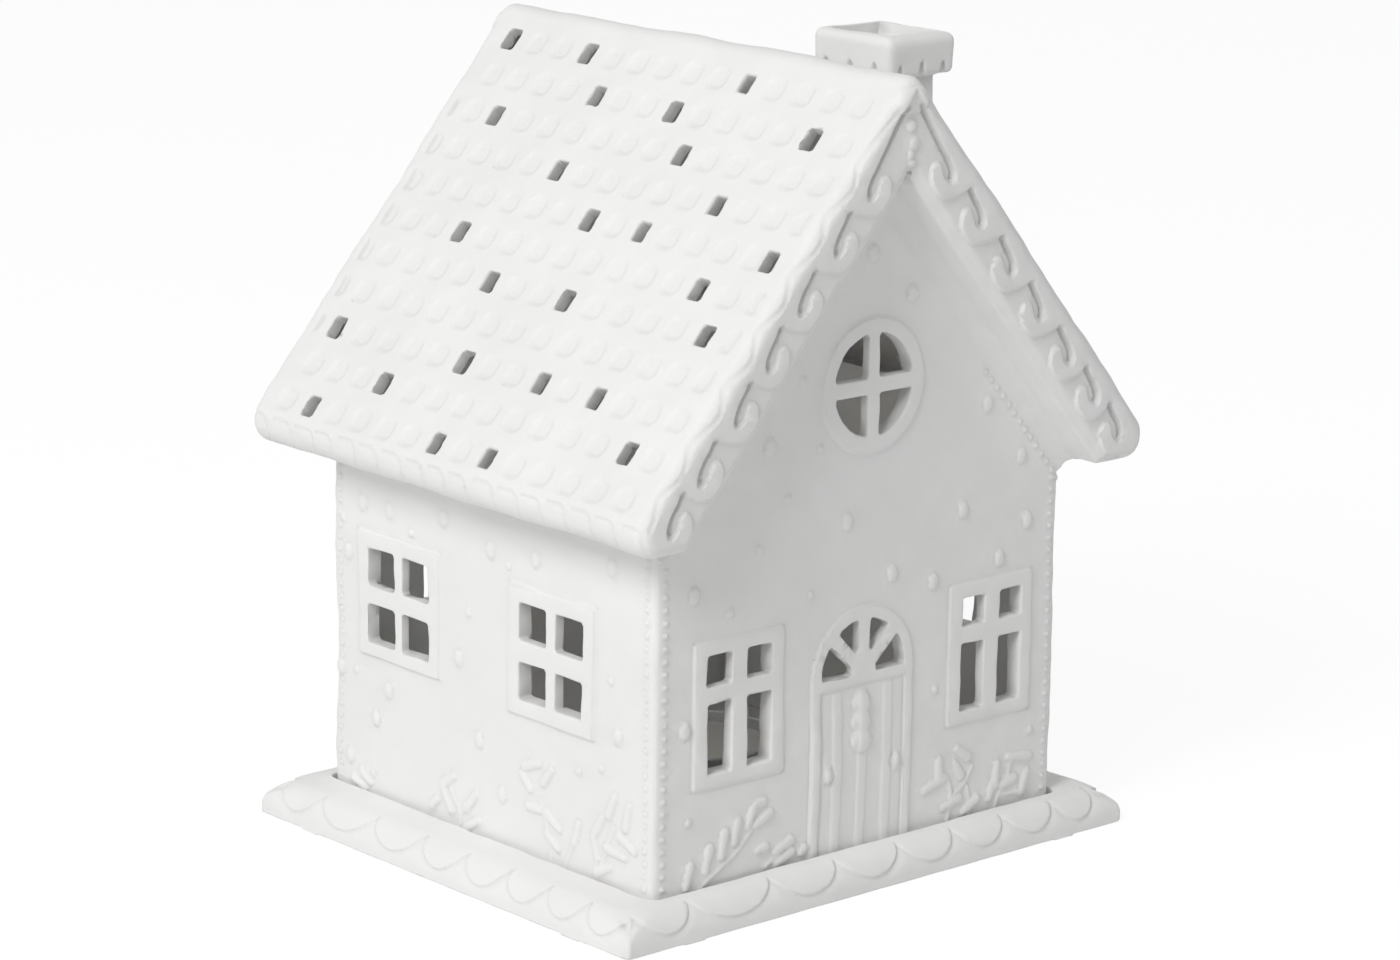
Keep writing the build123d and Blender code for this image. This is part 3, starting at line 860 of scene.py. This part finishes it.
# The plate's rim: the height of its outer edge, its corners, and the scallops on its slope. They
# meet at shares of half its length, counted to the right as someone facing that side sees them.
rim_edge, rim_width = 2.1, 7.9
rim_run = plate_high.z - rim_edge
solid_corner, corner_power = 5.0, 7.0
mitre_soft, mitre_growth = 7.0, 2.4
scallop_depth, scallop_step, scallop_fade = 0.5, 0.4, 3.0
scallop_reach, scallop_overlap = 9.9, 1.03
mitre_clear = 1.2
rim_passes = 2
front_cusps = (-0.935, -0.733, -0.417, -0.16, 0.087, 0.31, 0.518, 0.727, 0.90)
side_cusps = (-0.918, -0.692, -0.389, -0.124, 0.109, 0.334, 0.544, 0.747, 0.949)


def sharper_corners(surface):
    """Draws the solid's round corners out to the plate's sharper ones."""
    reach = abs(surface.p[:, :2]) - (plate_high.x - solid_corner, plate_high.y - solid_corner)
    there = np.all(reach > 0, axis=1)
    out = np.hypot(*reach[there].T)
    squarer = (reach[there] ** corner_power).sum(axis=1) ** (1 / corner_power)
    drawn = (out / squarer - 1) * np.clip(out / solid_corner, 0, 1) ** 2
    surface.p[there, :2] += np.sign(surface.p[there, :2]) * reach[there] * drawn[:, None]


def scallop_level(along, down, half_length, cusps):
    """Below 1 inside a scallop, above 1 outside them all."""
    level = np.full(len(along), 1e9)
    for a, b in zip(cusps, cusps[1:]):
        half = half_length * (b - a) / 2 * scallop_overlap
        ring = np.hypot((along - half_length * (a + b) / 2) / half, down / scallop_reach)
        level = np.minimum(level, ring)
    return level


def pressed_rim(surface):
    """Brings the rim to a quarter round with soft mitres, and scallops that stand out of it."""
    beside = (plate_high.x, plate_high.y) - abs(surface.p[:, :2])
    chosen = np.nonzero((beside.min(axis=1) < rim_width) & (surface.p[:, 2] > 0.05))[0]
    (dx, dy), (x, y, z) = beside[chosen].T, surface.p[chosen].T
    nearest = np.minimum(dx, dy)
    soft = np.clip(mitre_growth * nearest, 0.2, mitre_soft)
    share = np.clip(0.5 + 0.5 * (dy - dx) / soft, 0, 1)
    inward = dy * (1 - share) + dx * share - soft * share * (1 - share)
    out, up = np.clip(rim_run - inward, 0, None), np.clip(z - rim_edge, 0, None)
    radius = np.maximum(np.hypot(out, up), 1e-6)
    round_down = rim_width - rim_run + rim_run * np.arctan2(out, np.maximum(up, 1e-6))
    down = np.where(inward > rim_run, rim_width - inward, round_down)
    front = scallop_level(-np.sign(y) * x, down, plate_high.x, front_cusps)
    side = scallop_level(np.sign(x) * y, down, plate_high.y, side_cusps)
    past = (np.where(dy < dx, front, side) - 1) * scallop_reach * (down > 0)
    sunk = scallop_depth * smooth(past / scallop_step) * (1 - 0.5 * smooth(past / scallop_fade))
    sunk *= smooth(abs(dx - dy) / mitre_clear)
    way = np.stack((np.sign(x) * share * out, np.sign(y) * (1 - share) * out, up), axis=1)
    way /= radius[:, None]
    size = np.maximum((way ** 2).sum(axis=1), 0.2)
    there = ((way * surface.n[chosen]).sum(axis=1) > 0.2) & (abs(radius - rim_run) < 3)
    share_moved = there * smooth((rim_width - 0.3 - nearest) / 0.8) * smooth(z / 0.3)
    surface.p[chosen] -= way * (share_moved * (radius - rim_run + sunk) / size)[:, None]


def plate(material):
    piece = softened("base_plate", "plate_porcelain", plate_voxel)
    surface = Surface(piece.data)
    sharper_corners(surface)
    for _ in range(rim_passes):
        pressed_rim(surface)
    height, length, count, seed = plate_swells
    above = smooth((surface.p[:, 2] - 1) / 2)
    surface.move += height * waves(surface.p, length, count, seed) * above
    surface.apply()
    thinned(piece, plate_triangles)
    dressed(piece, "base", "base_plate", material)


def turned(name, profile, segments, twist=None):
    """A closed shape turned round Z from (radius, height) points; twist may change each radius."""
    points, faces = [], []
    for r, z in profile:
        for k in range(segments):
            angle = 2 * math.pi * k / segments
            wide = r if twist is None else r * twist(angle, z)
            points.append((wide * math.cos(angle) * MM, wide * math.sin(angle) * MM, z * MM))
    rows = len(profile)
    for i in range(rows - 1):
        for k in range(segments):
            j = (k + 1) % segments
            faces.append((
                i * segments + k, i * segments + j, (i + 1) * segments + j, (i + 1) * segments + k,
            ))
    faces.append(tuple(reversed(range(segments))))
    faces.append(tuple((rows - 1) * segments + k for k in range(segments)))
    mesh = bpy.data.meshes.new(name)
    mesh.from_pydata(points, [], faces)
    mesh.shade_smooth()
    piece = bpy.data.objects.new(name, mesh)
    bpy.context.scene.collection.objects.link(piece)
    return piece


def arc(centre_r, centre_z, radius, start, end, steps):
    """Points on part of a circle in a turned profile, by angles in degrees."""
    found = []
    for k in range(steps + 1):
        angle = math.radians(start + (end - start) * k / steps)
        found.append((centre_r + radius * math.cos(angle), centre_z + radius * math.sin(angle)))
    return found


# The cup: its skin, how much it narrows downwards, its rim's roll, its lower corner, and the ring
# pressed into its floor as (radius, height) points below and above the metal
cup_skin = 0.4
cup_draft = 0.5
cup_bead = 0.42
cup_corner = 1.2
ring_below = [(0.3, 0.35), (9, 0.35), (9.6, 0.05), (10.4, 0.05), (11, 0.2)]
ring_above = [(11, 0.6), (10.4, 0.45), (9.6, 0.45), (9, 0.7), (0.3, 0.7)]
cup_segments = 160


def candle_cup(material):
    """The drawn cup: a pressed ring in its floor, a soft lower corner and a rolled rim."""
    wide, low, high = cup_high.x - cup_bead, cup_low.z, cup_high.z
    foot = wide - cup_draft
    corner = (foot - cup_corner, low + cup_corner)
    outside = [(r, low + z) for r, z in ring_below] + [(foot - 1.6, low + 0.2), (foot - 1.3, low)]
    outside += arc(*corner, cup_corner, -80, 0, 6)
    outside += arc(wide, high - cup_bead, cup_bead, -90, 180, 10)
    inside = [(foot - cup_skin, low + 1.4)] + arc(*corner, cup_corner - cup_skin, 0, -90, 5)
    inside += [(r, low + z) for r, z in ring_above]
    piece = turned("candle_cup", outside + inside, cup_segments)
    dressed(piece, "tealight", "tealight_cup", material)


# The wax: its dish's depth, and the heights and widths of the rim and the collar round the wick
wax_steps, wax_segments = 24, 128
dish_depth = 0.62
wax_rim_height, wax_rim_width = 0.55, 0.7
collar_height, collar_width = 0.5, 0.6


def candle_wax(material):
    """The wax: a thin rim drawn up the cup, a shallow dish and a little collar at the wick."""
    wide, low, high = wax_high.x - 0.05, wax_low.z, wax_high.z
    profile = [(0.3, low), (wide - 1.6, low), (wide - 0.7, low + 1.0), (wide - 0.02, high - 0.05)]
    for k in range(wax_steps):
        r = (wide - 0.1) * (1 - k / wax_steps)
        rim = wax_rim_height * math.exp(-(wide - r) / wax_rim_width)
        collar = collar_height * math.exp(-max(r - collar_width, 0) / collar_width)
        profile.append((max(r, 0.3), min(high, high - dish_depth + rim + collar)))
    piece = turned(
        "candle_wax", profile, wax_segments,
        lambda angle, z: 1 - 0.002 * (1 + math.sin(3 * angle + z)),
    )
    dressed(piece, "tealight", "tealight_wax", material)


# The wick: the height of one turn of its twist, and how deep the grooves between strands are
wick_steps, wick_segments = 90, 36
twist_pitch = 2.6
strand_groove = 0.16
wick_tip = 0.75


def candle_wick(material):
    """Three twisted strands of cotton."""
    wide, low, high = wick_high.x, wick_low.z, wick_high.z
    profile = []
    for k in range(wick_steps + 1):
        z = low + (high - low) * k / wick_steps
        profile.append((wide * min(1.0, wick_tip + (wick_steps - k) / 6), z))
    turns = 2 * math.pi / twist_pitch
    piece = turned(
        "candle_wick", profile, wick_segments,
        lambda angle, z: (
            1 - strand_groove + strand_groove * abs(math.cos(1.5 * (angle - turns * z)))
        ),
    )
    dressed(piece, "tealight", "wick", material)


def wick_tab(material):
    """The tab stays as its solid, hidden in the wax, and gets its metal."""
    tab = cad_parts["wick_tab"]
    if not tab.data.materials:
        tab.data.materials.append(material)
    for slot in tab.material_slots:
        slot.link = "OBJECT"
        slot.material = material


floor_size = 6.0
floor_shade = 0.88
floor_glow = 0.88
floor_shadow = 0.18


def is_seen(tree):
    """1 for what the camera sees, straight, mirrored or through glass."""
    rays = node_at(tree, "ShaderNodeLightPath", -900, 200)
    total = rays.outputs["Is Camera Ray"]
    for n, name in enumerate(("Is Glossy Ray", "Is Transmission Ray")):
        either = node_at(tree, "ShaderNodeMath", -700 + 180 * n, 200, operation="MAXIMUM")
        tree.links.new(total, either.inputs[0])
        tree.links.new(rays.outputs[name], either.inputs[1])
        total = either.outputs[0]
    return total


def floor():
    """A pale floor: white where it is seen, with the object's soft shadow kept."""
    half = floor_size / 2
    corners = [(-half, -half, 0), (half, -half, 0), (half, half, 0), (-half, half, 0)]
    mesh = bpy.data.meshes.new("floor")
    mesh.from_pydata(corners, [], [(0, 1, 2, 3)])
    piece = bpy.data.objects.new("floor", mesh)
    bpy.context.scene.collection.objects.link(piece)
    made = bpy.data.materials.new("pale floor")
    made.use_nodes = True
    tree = made.node_tree
    tree.nodes.clear()
    plain = node_at(tree, "ShaderNodeBsdfDiffuse", -300, 0)
    plain.inputs["Color"].default_value = (floor_shade, floor_shade, floor_shade, 1)
    dim = node_at(tree, "ShaderNodeBsdfDiffuse", -300, -200)
    dim.inputs["Color"].default_value = (floor_shadow, floor_shadow, floor_shadow, 1)
    glow = node_at(tree, "ShaderNodeEmission", -300, -400)
    glow.inputs["Strength"].default_value = floor_glow
    both = node_at(tree, "ShaderNodeAddShader", -50, -300)
    mix = node_at(tree, "ShaderNodeMixShader", 150, 0)
    out = node_at(tree, "ShaderNodeOutputMaterial", 350, 0)
    tree.links.new(dim.outputs[0], both.inputs[0])
    tree.links.new(glow.outputs[0], both.inputs[1])
    tree.links.new(is_seen(tree), mix.inputs["Fac"])
    tree.links.new(plain.outputs[0], mix.inputs[1])
    tree.links.new(both.outputs[0], mix.inputs[2])
    tree.links.new(mix.outputs[0], out.inputs["Surface"])
    mesh.materials.append(made)


world_light = 0.415
key_power = 21.5
key_size = 0.9
key_place = Vector((-1.59, -0.47, 1.37))
inside_power = 0.005
inside_colour = (1.0, 0.98, 0.92)
inside_size = 0.02
inside_place = Vector((0, 0, 0.095))


def lights():
    """Even light from all round, one large soft lamp towards the two-window wall, and a faint glow
    inside for the light that real porcelain lets through."""
    world = bpy.data.worlds.new("studio")
    world.use_nodes = True
    tree = world.node_tree
    tree.nodes.clear()
    even = node_at(tree, "ShaderNodeBackground", -200, 0)
    even.inputs["Color"].default_value = (0.99, 1.0, 1.0, 1)
    even.inputs["Strength"].default_value = world_light
    white = node_at(tree, "ShaderNodeBackground", -200, -200)
    white.inputs["Color"].default_value = (1, 1, 1, 1)
    mix = node_at(tree, "ShaderNodeMixShader", 100, 0)
    out = node_at(tree, "ShaderNodeOutputWorld", 300, 0)
    tree.links.new(is_seen(tree), mix.inputs["Fac"])
    tree.links.new(even.outputs[0], mix.inputs[1])
    tree.links.new(white.outputs[0], mix.inputs[2])
    tree.links.new(mix.outputs[0], out.inputs["Surface"])
    bpy.context.scene.world = world
    soft_lamp()
    glow = bpy.data.lights.new("inside", "POINT")
    glow.energy = inside_power
    glow.color = inside_colour
    glow.shadow_soft_size = inside_size
    holder = bpy.data.objects.new("inside", glow)
    holder.location = inside_place
    bpy.context.scene.collection.objects.link(holder)


def soft_lamp():
    """A round lamp that looks at the middle of the house."""
    lamp = bpy.data.lights.new("key", "AREA")
    lamp.shape = "DISK"
    lamp.size = key_size
    lamp.energy = key_power
    holder = bpy.data.objects.new("key", lamp)
    holder.location = key_place
    aim = Vector((0, 0, house_high.z * MM / 2)) - key_place
    holder.rotation_euler = aim.to_track_quat("-Z", "Y").to_euler()
    bpy.context.scene.collection.objects.link(holder)


camera_place = Vector((-677.77, -763.18, 334.46)) * MM
camera_turn = math.radians(-41.653)
camera_lift = math.radians(14.025)
camera_roll = math.radians(0.872)
camera_lens = 120.22
camera_sensor = 36.0


def camera():
    """The photograph's view: fitted to the corners of the house."""
    a, e, r = camera_turn, camera_lift, camera_roll
    back = Vector((math.sin(a) * math.cos(e), -math.cos(a) * math.cos(e), math.sin(e)))
    right = Vector((math.cos(a), math.sin(a), 0))
    up = back.cross(right)
    right, up = (
        math.cos(r) * right + math.sin(r) * up,
        math.cos(r) * up - math.sin(r) * right,
    )
    data = bpy.data.cameras.new("camera")
    data.lens = camera_lens
    data.sensor_width = camera_sensor
    data.clip_start = 0.01
    holder = bpy.data.objects.new("camera", data)
    holder.matrix_world = Matrix.Translation(camera_place) @ Matrix(
        (right, up, back)
    ).transposed().to_4x4()
    bpy.context.scene.collection.objects.link(holder)
    bpy.context.scene.camera = holder


bisque = porcelain()
house(bisque)
plate(bisque)
candle_cup(drawn_aluminium())
candle_wax(paraffin())
candle_wick(cotton())
wick_tab(tinned_steel())
floor()
lights()
camera()
bpy.context.scene.view_settings.view_transform = "Standard"
